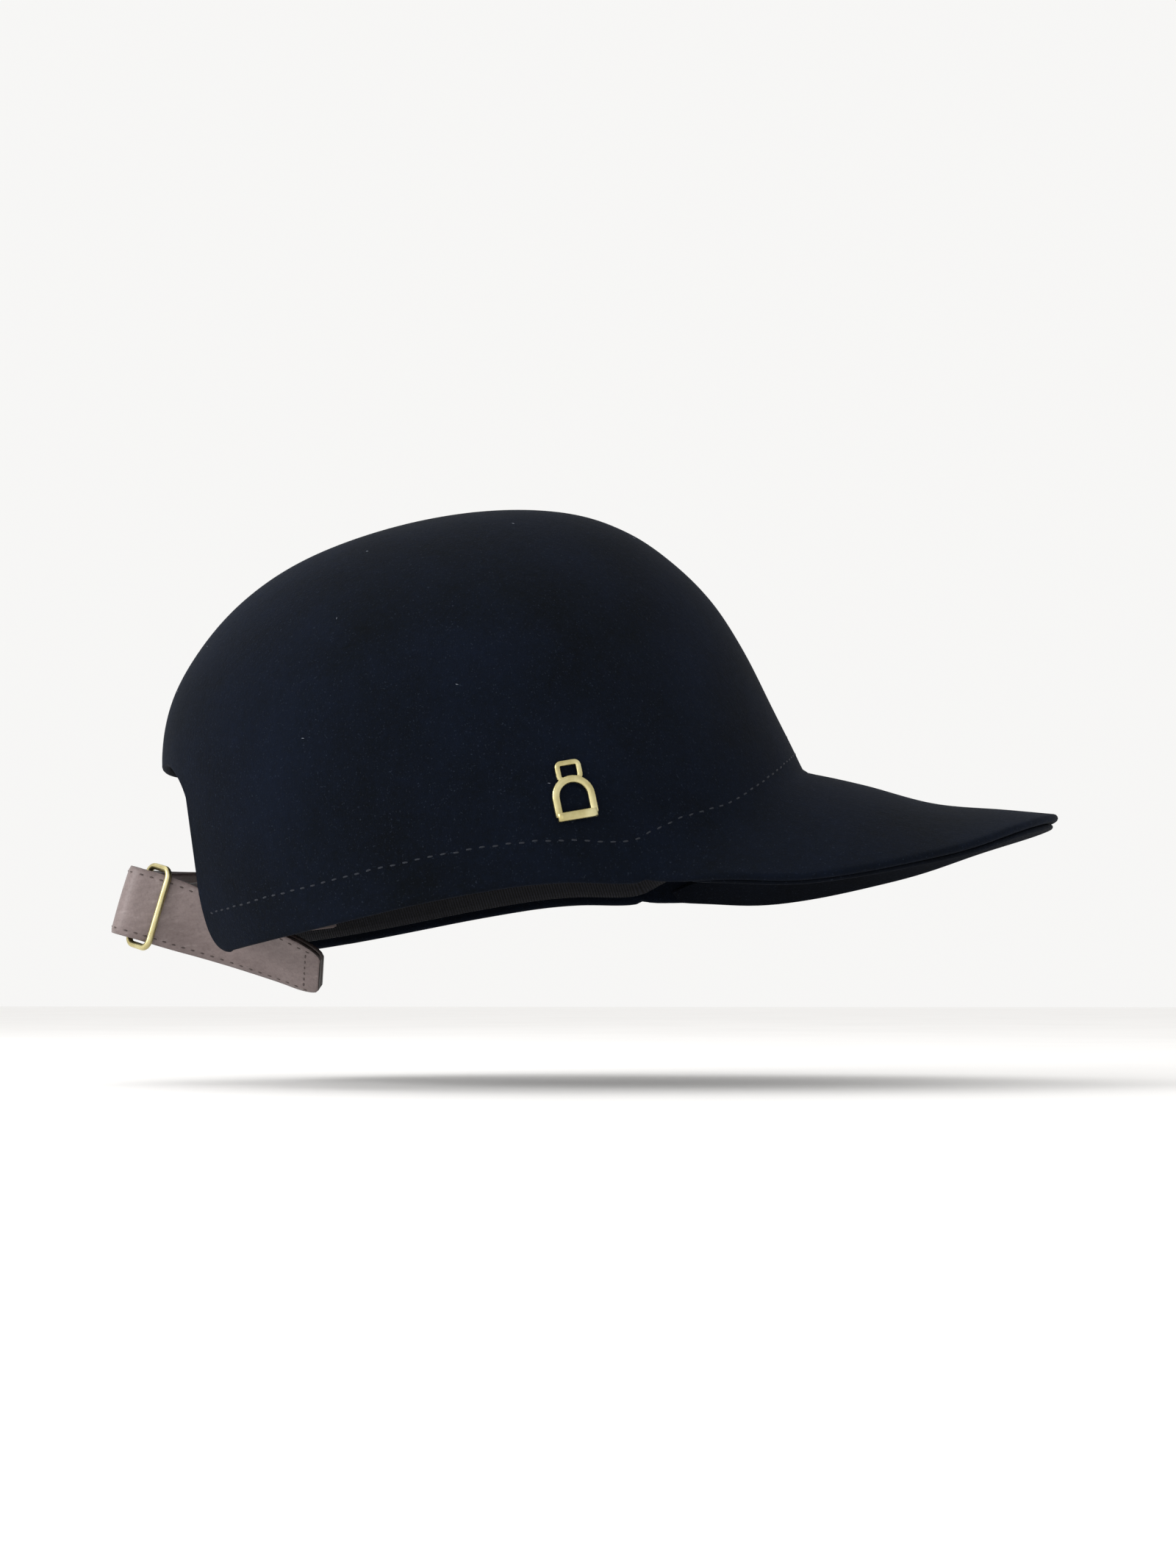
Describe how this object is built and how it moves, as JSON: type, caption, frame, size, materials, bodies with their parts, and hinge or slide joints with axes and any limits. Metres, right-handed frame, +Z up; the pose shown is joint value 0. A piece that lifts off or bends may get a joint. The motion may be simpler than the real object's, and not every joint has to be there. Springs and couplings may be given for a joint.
{
  "type": "riding style felt cap",
  "caption": "Soft riding-style felt cap: domed crown running into a drooping peak, arched back opening and a leather strap through a wire ring.",
  "frame": {"origin": "centre of the head opening, 4 mm above the back part of the rim", "axes": "+X towards the peak, +Y to the wearer's left, +Z up through the crown"},
  "size_m": [0.2919, 0.1725, 0.142],
  "materials": {
    "navy_felt": "short-napped navy wool felt",
    "navy_felt_under": "navy wool felt under the peak",
    "buckram": "stiffened buckram board",
    "grosgrain": "black ribbed grosgrain ribbon",
    "navy_thread": "navy polyester thread",
    "taupe_leather": "smooth taupe calf leather with painted dark edges",
    "lining_leather": "darker taupe-brown lining leather",
    "strap_thread": "waxed taupe thread",
    "pale_gold": "polished pale gold plate",
    "steel": "plain nickelled steel",
    "label_satin": "blank black satin"
  },
  "bodies": {
    "hat": {"felt_body": "navy_felt", "under_peak": "navy_felt_under", "peak_board": "buckram", "sweatband": "grosgrain", "sweatband_seam": "navy_thread", "strap_face": "taupe_leather", "strap_lining": "lining_leather", "strap_stitching": "strap_thread", "strap_anchor_stitches": "strap_thread", "ring_tab": "lining_leather", "tab_stitches": "strap_thread", "emblem": "pale_gold", "emblem_plate": "steel", "label": "label_satin"},
    "ring": {"ring": "pale_gold"},
    "tongue": {"tongue_face": "taupe_leather", "tongue_lining": "lining_leather", "tongue_stitching": "strap_thread"}
  },
  "joints": [
    {"name": "ring_swing", "type": "hinge", "parent": "hat", "child": "ring", "pos_m": [-0.10961, -0.02402, 0.01489], "axis": [0.4435, 0, 0.8963], "range_deg": [-8, 1]},
    {"name": "strap_slide", "type": "slide", "parent": "hat", "child": "tongue", "axis": [0.8963, 0, -0.4435], "range_m": [0, 0.008]}
  ]
}
